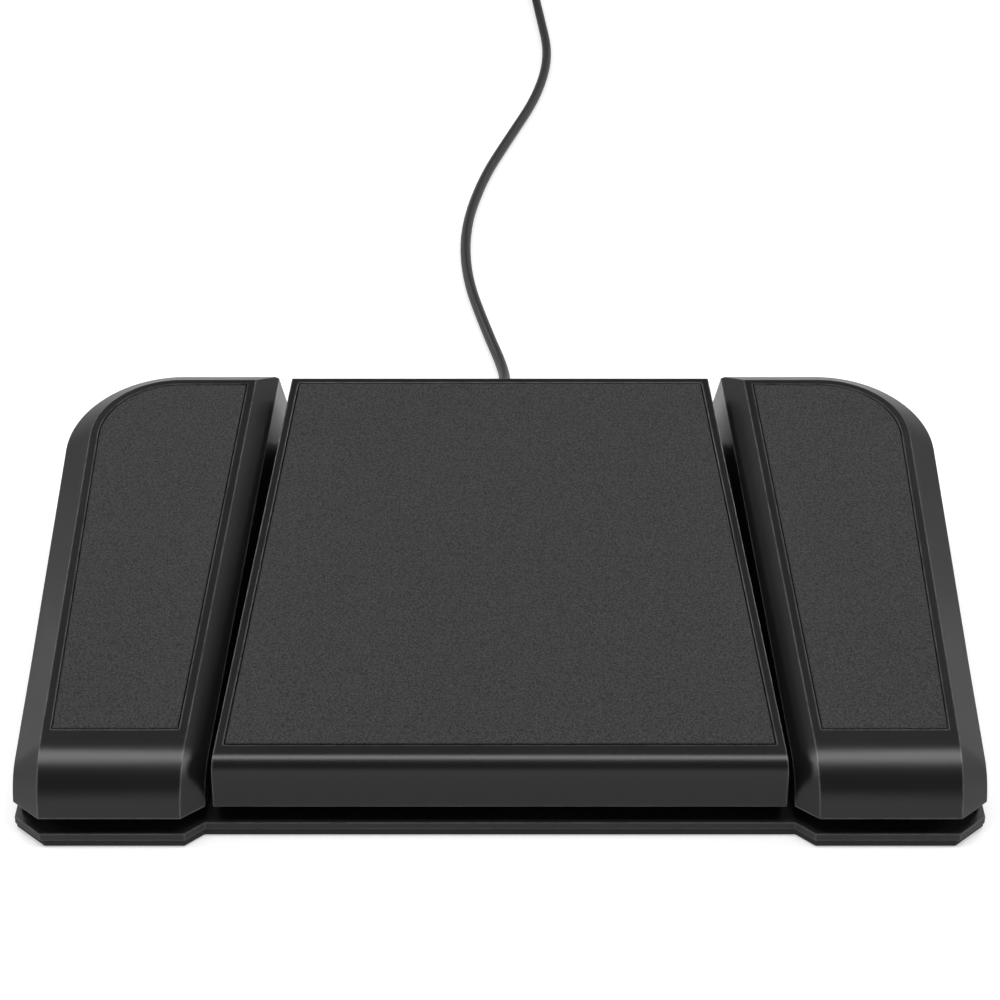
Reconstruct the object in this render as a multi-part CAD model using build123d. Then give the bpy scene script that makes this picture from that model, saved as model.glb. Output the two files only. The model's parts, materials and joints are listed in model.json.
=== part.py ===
from build123d import *
import math
import os

os.makedirs("parts", exist_ok=True)

# Whole object: width, depth and the overrun of every cut
overall_width = 237.0
overall_depth = 189.0
overrun = 5.0
fit_gap = 0.03
running_gap = 0.05
seat_gap = 0.3

# Base: rubber mat, steel plate and side skirts
mat_thickness = 1.8
mat_edge_inset = 0.1
mat_corner_inset = 0.8
plate_thickness = 2.0
outer_chamfer = 7.0
inner_chamfer = 4.5
rear_corner_radius = 30.0
skirt_thickness = 2.0
skirt_height = 5.2
skirt_front = 9.0
skirt_rear_setback = 51.0

# Pedals: shared top plane, rear face and lower edge
top_height_at_front = 19.8
top_slope_share = 0.2062
rear_top_setback = 43.6
rear_bevel_depth = 7.0
rear_bevel_drop = 2.9
lower_edge_front = 8.3
lower_edge_rear = 5.0
wall = 2.5
roof = 3.2

# Side pedals
side_inner_front_share = 0.607
side_inner_rear_share = 0.5045
side_bevel = 7.0
side_inner_bevel = 5.2
side_roll_radius = 16.0
side_split_depth = 45.0
lip_thickness = 1.0
lip_headroom = 4.0

# Centre pedal
centre_front = 5.0
pedal_gap_front = 1.8
pedal_gap_rear = 5.5
centre_roll_radius = 5.0
centre_rear_top_setback = 43.0

# Grip pads
pad_thickness = 1.2
pad_proud = 0.08
pad_groove = 0.35
pad_border = 2.5
side_pad_front = 16.7
centre_pad_front = 11.8
pad_rear_border = 2.2

# Hinges: clevis bracket, pin, clip and bush
hinge_setback = 29.0
hinge_height = 12.0
pedal_travel_degrees = 1.35
side_hinge_inner_share = 0.616
side_hinge_outer_share = 0.8354
centre_hinge_share = 0.3376
rib_thickness = 4.2
rib_nose_radius = 5.6
bracket_sheet = 1.5
bracket_side_gap = 0.4
bracket_lug_radius = 5.0
bracket_foot_length = 14.0
pin_radius = 2.0
pin_head_radius = 3.2
pin_head_thickness = 1.0
pin_tail = 2.0
clip_thickness = 0.6
clip_radius = 3.6
clip_groove_depth = 0.5
bush_wall = 1.2
bush_proud = 0.1

# Screws
screw_radius = 1.5
screw_head_radius = 2.7
screw_head_height = 1.8
screw_slot_width = 0.7
screw_slot_depth = 0.8
screw_slot_share = 0.6
bracket_screw_shares = [0.28, 0.72]

# Springs and their cups
spring_board_gap = 6.8
side_spring_share = 0.7764
centre_spring_share = 0.3207
spring_coil_radius = 4.9
spring_wire_radius = 0.6
spring_turns = 7
spring_cup_wall = 1.4
spring_cup_floor = 1.2
spring_cup_height = 5.0
spring_post_radius = 3.4
spring_post_length = 5.0
spring_side_gap = 0.3
spring_seat_drop = 2.0

# Microswitches, their holders and actuators
switch_bracket_gap = 19.8
switch_length = 20.0
switch_width = 6.4
switch_height = 9.6
switch_base_height = 12.0
plunger_radius = 1.4
plunger_proud = 1.6
plunger_sink = 3.0
actuator_radius = 3.5
actuator_gap = 0.1
holder_wall = 2.0
holder_foot_length = 7.0
holder_foot_thickness = 2.2
holder_pocket_depth = 4.0

# Stop bumpers and rest pads
bumper_depth_share = 0.127
bumper_radius = 4.0
bumper_thickness = 2.4
bumper_post_radius = 3.0
bumper_spread = 11.0
rest_pad_length = 10.0
rest_pad_width = 2.2
rest_pad_margin = 0.4
side_rest_pad_shares = [0.5654, 0.6751]
centre_rest_pad_share = 0.3376

# Roof ribs inside the shells
roof_rib_thickness = 1.6
roof_rib_drop = 4.0
roof_rib_front = 16.0
roof_rib_rear_setback = 49.0
side_rib_spread = 12.0
centre_rib_share = 0.1857

# Controller board
board_length_share = 0.7426
board_width = 30.0
board_thickness = 1.6
board_switch_gap = 6.8
standoff_height = 4.0
standoff_radius = 2.4
board_screw_inset = 3.6
chip_size = 9.0
chip_height = 1.2
lead_socket_length = 7.0
lead_socket_width = 5.0
lead_socket_height = 4.6
cord_socket_length = 12.0
lead_socket_inset = 10.0
centre_lead_offset = 14.0
lead_radius = 0.55
lead_bend = 3.0
lead_bend_share = 0.8
lead_exit_share = 0.35
centre_lead_start = 6.0
inner_cord_clearance = 0.8
inner_cord_straight = 14.0
arc_share = 0.45

# Cord, strain relief and clamp
cord_radius = 1.75
cord_exit_offset = 1.2
cord_exit_height = 7.8
boot_setback = 26.0
boot_length = 40.0
boot_taper_length = 16.0
boot_root_radius = 3.6
boot_tip_radius = 2.5
boot_flange_radius = 3.95
boot_flange_length = 2.0
clamp_flange_gap = 1.0
clamp_length = 8.0
clamp_width = 26.0
clamp_height = 9.6
clamp_screw_offset = 9.5
clamp_ear_height = 3.0
clamp_hump_width = 12.0
notch_half_width = 6.5
notch_height = 9.0

# Put-away coil, its tie and the plug
coil_centre_offset = -10.6
coil_centre_distance = 415.0
coil_start_radius = 24.6
coil_pitch = 4.15
coil_lift = 0.7
tie_thickness = 0.5
tie_width = 6.0
tie_gap = 0.15
tie_sag_gap = 0.8
coil_check_spacing = 1.5
tail_run = 16.0
tail_slope_run = 20.0
plug_body_length = 26.0
plug_body_width = 15.0
plug_body_height = 8.0
plug_corner_radius = 2.0
plug_shell_length = 18.75
plug_shell_width = 12.0
plug_shell_height = 4.5
plug_shell_wall = 0.3
plug_shell_overlap = 6.0
plug_tongue_thickness = 1.8
plug_tongue_gap = 0.1
plug_tongue_setback = 1.0

# Values that follow from the sizes above
half_width = overall_width / 2
plate_bottom = mat_thickness
plate_top = plate_bottom + plate_thickness
slope_angle = math.atan(top_slope_share)
side_inner_front = side_inner_front_share * half_width
side_inner_rear = side_inner_rear_share * half_width
rear_top_depth = overall_depth - rear_top_setback
rear_bevel_low_depth = rear_top_depth + rear_bevel_depth
centre_rear_top = overall_depth - centre_rear_top_setback
skirt_rear = overall_depth - skirt_rear_setback
skirt_outer = half_width - lip_thickness - seat_gap

# Depths of the inner pieces, from the hinges forward
hinge_depth = overall_depth - hinge_setback
bracket_front = hinge_depth - bracket_lug_radius - bracket_foot_length
holder_rear = bracket_front - switch_bracket_gap
switch_depth = holder_rear - holder_wall - switch_width / 2
board_rear_depth = switch_depth - switch_width / 2 - holder_wall - board_switch_gap
board_front = board_rear_depth - board_width
spring_cup_inner = spring_coil_radius + spring_wire_radius + spring_side_gap
spring_depth = board_front - spring_board_gap - spring_cup_inner - spring_cup_wall
bumper_depth = bumper_depth_share * overall_depth


def along(depth):
    """Y of a place that lies this far behind the front of the side pedals."""
    return depth - overall_depth / 2


def top_height(depth):
    """Height of the pedals' common top plane."""
    return top_height_at_front + top_slope_share * depth


def lower_edge(depth):
    """Height of the shells' lower edge, which falls a little to the rear."""
    return lower_edge_front + (lower_edge_rear - lower_edge_front) * depth / overall_depth


def side_inner(depth):
    """X of the side pedal's inner wall, which leans in towards the rear."""
    return side_inner_front + (side_inner_rear - side_inner_front) * depth / overall_depth


def centre_half(depth):
    """Half the centre pedal's width."""
    gap = pedal_gap_front + (pedal_gap_rear - pedal_gap_front) * depth / overall_depth
    return side_inner(depth) - gap


def travel_drop(depth):
    """How far a point of a pedal sinks at full travel."""
    return (hinge_depth - depth) * math.radians(pedal_travel_degrees)


rear_bevel_low_height = top_height(rear_top_depth) - rear_bevel_drop
rear_fall_share = (rear_bevel_low_height - lower_edge_rear) / (overall_depth - rear_bevel_low_depth)
rear_angle = math.atan(rear_fall_share)
ceiling = top_height(overall_depth)


def rear_face_depth(height):
    """Depth of the sloping rear face at a height."""
    return overall_depth - (height - lower_edge_rear) / rear_fall_share


def outline_prism(points, low, high):
    """Upright prism on a plan outline."""
    face = make_face(Polyline(*points, close=True))
    return Pos(0, 0, low) * extrude(face, amount=high - low)


def profile_prism(points, low_x, high_x, corner=None, radius=0):
    """Prism along X on a side outline given as (Y, Z) points, with one corner rounded."""
    sketch = make_face(Polyline(*points, close=True))
    if corner is not None:
        nearest = sketch.vertices().sort_by_distance(Vector(*corner))[0]
        sketch = fillet(nearest, radius=radius)
    return Pos(low_x, 0, 0) * extrude(Plane.YZ * sketch, amount=high_x - low_x)


def box_between(low, high):
    """Box from its lowest to its highest corner."""
    size = [b - a for a, b in zip(low, high)]
    middle = [(a + b) / 2 for a, b in zip(low, high)]
    return Pos(*middle) * Box(*size)


def post(x, y, low, high, radius):
    """Upright cylinder."""
    return Pos(x, y, (low + high) / 2) * Cylinder(radius, high - low)


def cross_rod(low_x, high_x, y, z, radius):
    """Cylinder along X."""
    middle = Pos((low_x + high_x) / 2, y, z)
    return middle * Rot(0, 90, 0) * Cylinder(radius, high_x - low_x)


def mirrored(shape):
    """The same piece on the other side."""
    return mirror(shape, about=Plane.YZ)


def save(name, *solids):
    """Write one node, which may be a group of separate solids."""
    shape = solids[0] if len(solids) == 1 else Compound(children=list(solids))
    export_step(shape, f"parts/{name}.step")


# Base plate, mat and skirts
def base_outline(inset, extra_corner):
    """Plan of the base: two front lobes, a set-back middle and rounded rear corners."""
    outer = half_width - inset
    front = along(inset)
    corner = outer_chamfer + extra_corner
    lobe = side_inner(0) + inset
    middle = along(inner_chamfer + inset)
    rear = along(overall_depth - inset)
    right = [
        (lobe, middle),
        (lobe + inner_chamfer, front),
        (outer - corner, front),
        (outer, front + corner),
        (outer, rear),
    ]
    left = [(-x, y) for x, y in reversed(right)]
    return make_face(Polyline(*right, *left, close=True))


def base_sheet(inset, extra_corner, low, thickness):
    """Flat sheet on the base's plan, its rear corners rounded."""
    sheet = Pos(0, 0, low) * extrude(base_outline(inset, extra_corner), amount=thickness)
    rear_edges = sheet.edges().filter_by(Axis.Z).group_by(Axis.Y)[-1]
    return fillet(rear_edges, radius=rear_corner_radius - inset)


base_mat = base_sheet(mat_edge_inset, mat_corner_inset, 0, mat_thickness)
base_plate = base_sheet(0, 0, plate_bottom, plate_thickness)

right_skirt = box_between(
    (skirt_outer - skirt_thickness, along(skirt_front), plate_top),
    (skirt_outer, along(skirt_rear), plate_top + skirt_height),
)


# Side pedal's outer form, or its hollow when inset by the wall
def slope_plane(height_at_front, slope):
    """Plane that rises towards the rear, its X across and its Y up the slope."""
    normal = (0, -math.sin(slope), math.cos(slope))
    return Plane(origin=(0, along(0), height_at_front), x_dir=(1, 0, 0), z_dir=normal)


def side_section(plane, slope, front, rear, inner_at, outer, radius):
    """Plan of the side pedal behind its split, drawn on a sloping plane."""
    stretch = 1 / math.cos(slope)
    near = front * stretch
    far = rear * stretch
    lines = [
        Line((inner_at(front), near), (outer, near)),
        Line((outer, near), (outer, far - radius)),
        JernArc((outer, far - radius), (0, 1), radius, 90),
        Line((outer - radius, far), (inner_at(rear), far)),
        Line((inner_at(rear), far), (inner_at(front), near)),
    ]
    return plane * make_face(Curve() + lines)


def bevel_prism(start, end, size):
    """Prism that cuts an even bevel along an edge of the top plane with an upright wall on its low X side."""
    edge = (end - start).normalized()
    top_normal = slope_plane(0, slope_angle).z_dir
    wall_normal = Vector(-edge.Y, edge.X, 0).normalized()
    across = edge.cross(top_normal).normalized()
    down = wall_normal.cross(edge).normalized()
    across = across if across.X > 0 else across * -1
    down = down if down.Z < 0 else down * -1
    far = size * 2
    corners = [
        across * size,
        down * size,
        down * size - across * far,
        across * -far - down * far,
        across * size - down * far,
    ]
    origin = start - edge * overrun
    outline = make_face(Polyline(*[origin + corner for corner in corners], close=True))
    return extrude(outline, amount=(end - start).length + 2 * overrun, dir=edge)


def side_form(inset, roof_inset, low_inset):
    """Solid outer form of the right pedal; the insets give the hollow inside it."""
    bevel = side_bevel - (2 - math.sqrt(2)) * inset
    inner_bevel = side_inner_bevel - (2 - math.sqrt(2)) * inset
    outer = half_width - inset
    rise = top_height_at_front - roof_inset
    bevel_drop = bevel / math.cos(slope_angle)
    rear_shift = inset / math.sin(rear_angle)

    def inner_at(depth):
        return side_inner(depth) + inset

    low_rear = rear_face_depth(0) - rear_shift
    bevel_rear = rear_bevel_low_depth - inset
    top_rear = rear_top_depth - inset
    low_plane_slope = math.atan(
        (rear_bevel_low_height - roof_inset - (rise + top_slope_share * side_split_depth - bevel_drop))
        / (bevel_rear - side_split_depth)
    )
    low_plane_front = rear_bevel_low_height - roof_inset - math.tan(low_plane_slope) * bevel_rear

    top_plane = slope_plane(rise, slope_angle)
    bevel_plane = slope_plane(low_plane_front, low_plane_slope)
    floor_plane = slope_plane(0, 0)
    low_radius = rear_corner_radius - inset
    top_radius = low_radius - bevel
    floor_cut = side_section(floor_plane, 0, side_split_depth, low_rear, inner_at, outer, low_radius)
    bevel_cut = side_section(
        bevel_plane, low_plane_slope, side_split_depth, bevel_rear, inner_at, outer, low_radius
    )
    top_cut = side_section(
        top_plane, slope_angle, side_split_depth, top_rear, inner_at, outer - bevel, top_radius
    )
    rear = loft([floor_cut, bevel_cut], ruled=True) + loft([bevel_cut, top_cut], ruled=True)

    face_y = along(inset)
    split_y = along(side_split_depth)
    corner = (face_y, rise + top_slope_share * inset)
    profile = [
        (face_y, 0),
        corner,
        (split_y, rise + top_slope_share * side_split_depth),
        (split_y, 0),
    ]
    front = profile_prism(profile, 0, outer, corner, side_roll_radius - inset)

    def side_edges(solid, wall_at):
        """Edges of the front block that run down one side, from the split to the foot."""
        return [
            edge
            for edge in solid.edges()
            if abs(edge.center().X - wall_at(edge.center().Y + overall_depth / 2)) < fit_gap
            and edge.center().Y < split_y - fit_gap
            and edge.center().Z > fit_gap
        ]

    front = chamfer(side_edges(front, lambda depth: outer), length=bevel)
    wedge = [
        (inner_at(-overrun), along(-overrun)),
        (half_width + overrun, along(-overrun)),
        (half_width + overrun, split_y),
        (inner_at(side_split_depth), split_y),
    ]
    front = front & outline_prism(wedge, -overrun, ceiling)
    front = chamfer(side_edges(front, inner_at), length=inner_bevel)
    start = Vector(inner_at(side_split_depth), split_y, rise + top_slope_share * side_split_depth)
    end = Vector(inner_at(bevel_rear), along(bevel_rear), rise + top_slope_share * bevel_rear)
    rear = rear - bevel_prism(start, end, inner_bevel)
    whole = front + rear
    trim = [
        (along(-overrun), lower_edge(-overrun) - low_inset),
        (along(overall_depth + overrun), lower_edge(overall_depth + overrun) - low_inset),
        (along(overall_depth + overrun), half_width),
        (along(-overrun), half_width),
    ]
    return whole & profile_prism(trim, 0, half_width + overrun)


# Centre pedal's outer form, or its hollow
centre_fall_share = (top_height(centre_rear_top) - lower_edge_rear) / (overall_depth - centre_rear_top)
centre_rear_angle = math.atan(centre_fall_share)


def centre_form(inset, roof_inset, low_inset):
    """Solid outer form of the centre pedal; the insets give the hollow inside it."""
    rise = top_height_at_front - roof_inset
    rear_shift = inset / math.sin(centre_rear_angle)
    foot_depth = overall_depth - rear_shift
    ridge_share = top_slope_share + centre_fall_share
    ridge_depth = (lower_edge_rear - rise + centre_fall_share * foot_depth) / ridge_share
    front_depth = centre_front + inset
    corner = (along(front_depth), rise + top_slope_share * front_depth)
    low_rear = foot_depth + low_inset / centre_fall_share
    profile = [
        (along(front_depth), lower_edge(front_depth) - low_inset),
        corner,
        (along(ridge_depth), rise + top_slope_share * ridge_depth),
        (along(low_rear), lower_edge_rear - low_inset),
    ]
    block = profile_prism(profile, -half_width, half_width, corner, centre_roll_radius - inset)
    front_half = centre_half(front_depth) - inset
    rear_half = centre_half(low_rear) - inset
    wedge = [
        (-front_half, along(front_depth)),
        (front_half, along(front_depth)),
        (rear_half, along(low_rear)),
        (-rear_half, along(low_rear)),
    ]
    return block & outline_prism(wedge, -overrun - low_inset, ceiling)


# Grip pads and the pockets they lie in
def top_slab(low_gap, high_gap, width):
    """Slab that follows the top plane, between two distances under and over it."""
    near = -overrun
    far = overall_depth
    points = [
        (along(near), top_height(near) - low_gap),
        (along(far), top_height(far) - low_gap),
        (along(far), top_height(far) + high_gap),
        (along(near), top_height(near) + high_gap),
    ]
    return profile_prism(points, -width, width)


def side_pad(grow, low_gap, high_gap):
    """Right grip pad, or its pocket when grown."""
    front = side_pad_front - grow
    rear = rear_top_depth - pad_rear_border + grow
    outer = half_width - side_bevel - pad_border + grow
    border = side_inner_bevel + pad_border - grow
    radius = rear_corner_radius - side_bevel - pad_border + grow
    outline = [
        (side_inner(front) + border, along(front)),
        (outer, along(front)),
        (outer, along(rear)),
        (side_inner(rear) + border, along(rear)),
    ]
    block = outline_prism(outline, 0, ceiling)
    corner_edge = block.edges().filter_by(Axis.Z).sort_by(lambda e: e.center().X + e.center().Y)[-1]
    block = fillet(corner_edge, radius=radius)
    return block & top_slab(low_gap, high_gap, half_width)


def centre_pad(grow, low_gap, high_gap):
    """Centre grip pad, or its pocket when grown."""
    front = centre_pad_front - grow
    rear = centre_rear_top - pad_rear_border + grow
    border = pad_border - grow
    outline = [
        (-centre_half(front) + border, along(front)),
        (centre_half(front) - border, along(front)),
        (centre_half(rear) - border, along(rear)),
        (-centre_half(rear) + border, along(rear)),
    ]
    return outline_prism(outline, 0, ceiling) & top_slab(low_gap, high_gap, half_width)


# Inner features of the shells
hinge_y = along(hinge_depth)
bush_inner = pin_radius + running_gap
bush_outer = bush_inner + bush_wall
bumper_low = plate_top + travel_drop(bumper_depth) + seat_gap
spring_low = plate_top + spring_cup_floor
spring_high = top_height(spring_depth) - roof - spring_seat_drop
switch_top = plate_top + switch_base_height + switch_height
plunger_top = switch_top + plunger_proud


def inner_features(hinges, springs, actuator_x, bumpers, ribs):
    """Hinge ribs, spring seats, actuator, bumper posts and roof ribs before trimming to the shell."""
    features = []
    for x in hinges:
        low_x = x - rib_thickness / 2
        high_x = x + rib_thickness / 2
        features.append(
            box_between(
                (low_x, hinge_y - rib_nose_radius, hinge_height),
                (high_x, hinge_y + rib_nose_radius, ceiling),
            )
        )
        features.append(cross_rod(low_x, high_x, hinge_y, hinge_height, rib_nose_radius))
    for x in springs:
        y = along(spring_depth)
        seat_radius = spring_coil_radius + spring_wire_radius
        features.append(post(x, y, spring_high, ceiling, seat_radius))
        features.append(post(x, y, spring_high - spring_post_length, ceiling, spring_post_radius))
    actuator_low = plunger_top + actuator_gap
    features.append(post(actuator_x, along(switch_depth), actuator_low, ceiling, actuator_radius))
    for x in bumpers:
        low = bumper_low + bumper_thickness
        features.append(post(x, along(bumper_depth), low, ceiling, bumper_post_radius))
    rib_slab = top_slab(roof + roof_rib_drop, 0, half_width)
    for x in ribs:
        strip = box_between(
            (x - roof_rib_thickness / 2, along(roof_rib_front), 0),
            (x + roof_rib_thickness / 2, along(overall_depth - roof_rib_rear_setback), ceiling),
        )
        features.append(strip & rib_slab)
    return features


def finish_shell(outer, hollow, core, features, hinges, pocket):
    """Hollow shell with its features fused in, its bush bores and its pad pocket."""
    shell = outer - hollow
    for feature in features:
        shell = shell + (feature & core)
    for x in hinges:
        bore = cross_rod(x - rib_thickness, x + rib_thickness, hinge_y, hinge_height, bush_outer + fit_gap)
        shell = shell - bore
    return shell - pocket


def pair_at(share):
    """X of a pair of places, left and right, as a share of half the width."""
    return [-share * half_width, share * half_width]


side_hinges = [side_hinge_inner_share * half_width, side_hinge_outer_share * half_width]
side_spring = side_spring_share * half_width
side_switch = (side_inner(switch_depth) + wall + skirt_outer - skirt_thickness) / 2
side_bumpers = [side_spring - bumper_spread, side_spring + bumper_spread]
side_ribs = [side_spring - side_rib_spread, side_spring + side_rib_spread]
centre_hinges = pair_at(centre_hinge_share)
centre_springs = pair_at(centre_spring_share)
centre_bumpers = [centre_springs[0] - bumper_spread, centre_springs[1] + bumper_spread]
centre_ribs = pair_at(centre_rib_share)

side_shell = finish_shell(
    side_form(0, 0, 0),
    side_form(wall, roof, 2 * overrun),
    side_form(wall / 2, roof / 2, 2 * overrun),
    inner_features(side_hinges, [side_spring], side_switch, side_bumpers, side_ribs),
    side_hinges,
    side_pad(pad_groove, pad_thickness, overrun),
)
rebate = box_between(
    (half_width - wall - overrun, along(skirt_front - seat_gap), -overrun),
    (half_width - lip_thickness, along(skirt_rear + seat_gap), plate_top + skirt_height + lip_headroom),
)
right_shell = side_shell - rebate
centre_shell = finish_shell(
    centre_form(0, 0, 0),
    centre_form(wall, roof, 2 * overrun),
    centre_form(wall / 2, roof / 2, 2 * overrun),
    inner_features(centre_hinges, centre_springs, 0, centre_bumpers, centre_ribs),
    centre_hinges,
    centre_pad(pad_groove, pad_thickness, overrun),
)
cord_notch = box_between(
    (cord_exit_offset - notch_half_width, along(overall_depth) - notch_height * 2, -overrun),
    (cord_exit_offset + notch_half_width, along(overall_depth + overrun), lower_edge_rear + notch_height),
)
centre_shell = centre_shell - cord_notch
right_pad = side_pad(0, pad_thickness, pad_proud)
middle_pad = centre_pad(0, pad_thickness, pad_proud)


# Screws and other small hardware
def screw(x, y, seat, reach):
    """Pan-head screw: its head sits at seat height and its shank reaches down to reach."""
    head = post(x, y, seat, seat + screw_head_height, screw_head_radius)
    shank = post(x, y, reach, seat, screw_radius)
    top = seat + screw_head_height
    slots = [
        box_between(
            (x - width, y - length, top - screw_slot_depth),
            (x + width, y + length, top + overrun),
        )
        for width, length in [
            (screw_slot_width / 2, screw_head_radius * screw_slot_share),
            (screw_head_radius * screw_slot_share, screw_slot_width / 2),
        ]
    ]
    return head + shank - slots[0] - slots[1]


def hinge_bracket(x):
    """Steel clevis: two lugs round the rib, on a foot that runs forward with two screw holes."""
    half_gap = rib_thickness / 2 + bracket_side_gap
    half_outside = half_gap + bracket_sheet
    foot = box_between(
        (x - half_outside, hinge_y - bracket_lug_radius - bracket_foot_length, plate_top),
        (x + half_outside, hinge_y + bracket_lug_radius, plate_top + bracket_sheet),
    )
    bracket = foot
    for inner, outer in [(-half_outside, -half_gap), (half_gap, half_outside)]:
        lug = box_between(
            (x + inner, hinge_y - bracket_lug_radius, plate_top),
            (x + outer, hinge_y + bracket_lug_radius, hinge_height),
        )
        bracket = bracket + lug + cross_rod(x + inner, x + outer, hinge_y, hinge_height, bracket_lug_radius)
    reach = half_outside + overrun
    bracket = bracket - cross_rod(x - reach, x + reach, hinge_y, hinge_height, pin_radius + fit_gap)
    for y in bracket_screw_rows():
        bracket = bracket - post(x, y, 0, hinge_height, screw_radius + fit_gap)
    return bracket


def bracket_screw_rows():
    """Y of the two screws on a bracket's foot."""
    nose = hinge_y - bracket_lug_radius
    return [nose - bracket_foot_length * share for share in bracket_screw_shares]


def hinge_pin(x):
    """Pin with a head at one end and a groove for the clip near the other."""
    half_outside = rib_thickness / 2 + bracket_side_gap + bracket_sheet
    low = x - half_outside
    high = x + half_outside
    shaft = cross_rod(low, high + pin_tail, hinge_y, hinge_height, pin_radius)
    head = cross_rod(low - pin_head_thickness, low, hinge_y, hinge_height, pin_head_radius)
    groove_low = high + fit_gap
    groove_high = groove_low + clip_thickness + 2 * fit_gap
    groove = cross_rod(groove_low, groove_high, hinge_y, hinge_height, pin_head_radius)
    core = cross_rod(groove_low, groove_high, hinge_y, hinge_height, pin_radius - clip_groove_depth)
    return head + shaft - (groove - core)


def hinge_clip(x):
    """Snap ring in the pin's groove, open below."""
    low = x + rib_thickness / 2 + bracket_side_gap + bracket_sheet + 2 * fit_gap
    high = low + clip_thickness
    ring = cross_rod(low, high, hinge_y, hinge_height, clip_radius)
    bore_radius = pin_radius - clip_groove_depth + fit_gap
    bore = cross_rod(low - overrun, high + overrun, hinge_y, hinge_height, bore_radius)
    mouth = box_between(
        (low - overrun, hinge_y - bore_radius, hinge_height - clip_radius - overrun),
        (high + overrun, hinge_y + bore_radius, hinge_height),
    )
    return ring - bore - mouth


def hinge_bush(x):
    """Bush in the pedal's rib that turns on the pin."""
    low = x - rib_thickness / 2 - bush_proud
    high = x + rib_thickness / 2 + bush_proud
    sleeve = cross_rod(low, high, hinge_y, hinge_height, bush_outer)
    return sleeve - cross_rod(low - overrun, high + overrun, hinge_y, hinge_height, bush_inner)


def spring_cup(x):
    """Round cup on the plate that keeps a spring's foot in place."""
    y = along(spring_depth)
    cup = post(x, y, plate_top, plate_top + spring_cup_height, spring_cup_inner + spring_cup_wall)
    return cup - post(x, y, spring_low, plate_top + spring_cup_height + overrun, spring_cup_inner)


def return_spring(x):
    """Compression spring of round wire between its cup and the seat under the roof."""
    low = spring_low + spring_wire_radius + running_gap
    height = spring_high - spring_wire_radius - running_gap - low
    helix = Helix(pitch=height / spring_turns, height=height, radius=spring_coil_radius)
    start = helix @ 0
    section = Plane(origin=start, z_dir=helix % 0) * Circle(spring_wire_radius)
    return Pos(x, along(spring_depth), low) * sweep(section, path=helix)


def switch_holder(x):
    """Plastic stand with a pocket for the switch and a screwed foot at each end."""
    y = along(switch_depth)
    half_length = switch_length / 2 + holder_wall
    half_depth = switch_width / 2 + holder_wall
    seat = plate_top + switch_base_height
    stand = box_between(
        (x - half_length, y - half_depth, plate_top),
        (x + half_length, y + half_depth, seat + holder_pocket_depth),
    )
    reach = half_length + holder_foot_length
    feet = box_between(
        (x - reach, y - half_depth, plate_top),
        (x + reach, y + half_depth, plate_top + holder_foot_thickness),
    )
    pocket = box_between(
        (x - switch_length / 2 - fit_gap, y - switch_width / 2 - fit_gap, seat),
        (x + switch_length / 2 + fit_gap, y + switch_width / 2 + fit_gap, seat + switch_height),
    )
    holder = stand + feet - pocket
    for screw_x in holder_screw_places(x):
        holder = holder - post(screw_x, y, 0, seat, screw_radius + fit_gap)
    return holder


def holder_screw_places(x):
    """X of the two screws in a switch holder's feet."""
    reach = switch_length / 2 + holder_wall + holder_foot_length / 2
    return [x - reach, x + reach]


def switch_body(x):
    """Housing of the microswitch, with a bore for its plunger."""
    y = along(switch_depth)
    seat = plate_top + switch_base_height
    body = box_between(
        (x - switch_length / 2, y - switch_width / 2, seat),
        (x + switch_length / 2, y + switch_width / 2, switch_top),
    )
    bore_low = switch_top - plunger_sink - travel_drop(switch_depth) - seat_gap
    return body - post(x, y, bore_low, switch_top + overrun, plunger_radius + running_gap)


def switch_plunger(x):
    """Pin that the pedal presses into the switch."""
    return post(x, along(switch_depth), switch_top - plunger_sink, plunger_top, plunger_radius)


def stop_bumper(x):
    """Rubber stop under a pedal's front, which meets the plate at full travel."""
    return post(x, along(bumper_depth), bumper_low, bumper_low + bumper_thickness, bumper_radius)


def rest_pad(x):
    """Low rubber pad on the plate under a pedal's rear edge."""
    rear = along(overall_depth - rest_pad_margin)
    front = rear - rest_pad_width
    high = lower_edge(overall_depth - rest_pad_margin) - seat_gap
    return box_between((x - rest_pad_length / 2, front, plate_top), (x + rest_pad_length / 2, rear, high))


def pieces_at(shape_maker, places):
    """One piece for each place."""
    return [shape_maker(x) for x in places]


# Controller board with what is soldered on it
board_length = board_length_share * half_width
board_y = along(board_front)
board_low = plate_top + standoff_height
board_high = board_low + board_thickness
board_half = board_length / 2
board_screw_x = board_half - board_screw_inset
board_screw_ys = [board_y + board_screw_inset, board_y + board_width - board_screw_inset]
board_corners = [(x, y) for x in (-board_screw_x, board_screw_x) for y in board_screw_ys]
board_rear = along(board_rear_depth)

controller_board = box_between((-board_half, board_y, board_low), (board_half, board_rear, board_high))
for corner_x, corner_y in board_corners:
    controller_board = controller_board - post(corner_x, corner_y, 0, ceiling, screw_radius + fit_gap)
standoffs = [
    post(x, y, plate_top, board_low, standoff_radius) - post(x, y, 0, ceiling, screw_radius + fit_gap)
    for x, y in board_corners
]
board_screws = [screw(x, y, board_high, plate_bottom) for x, y in board_corners]
chip_y = board_y + board_width / 2
controller_chip = box_between(
    (-chip_size / 2, chip_y - chip_size / 2, board_high),
    (chip_size / 2, chip_y + chip_size / 2, board_high + chip_height),
)


def board_socket(x, length):
    """Socket at the board's rear edge."""
    low = (x - length / 2, board_rear - lead_socket_width, board_high)
    high = (x + length / 2, board_rear, board_high + lead_socket_height)
    return box_between(low, high)


side_lead_offset = board_half - lead_socket_inset
cord_socket_offset = side_lead_offset - (lead_socket_length + cord_socket_length) / 2
lead_places = [-side_lead_offset, -centre_lead_offset, side_lead_offset]
lead_sockets = [board_socket(x, lead_socket_length) for x in lead_places]
cord_socket = board_socket(cord_socket_offset, cord_socket_length)


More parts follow.
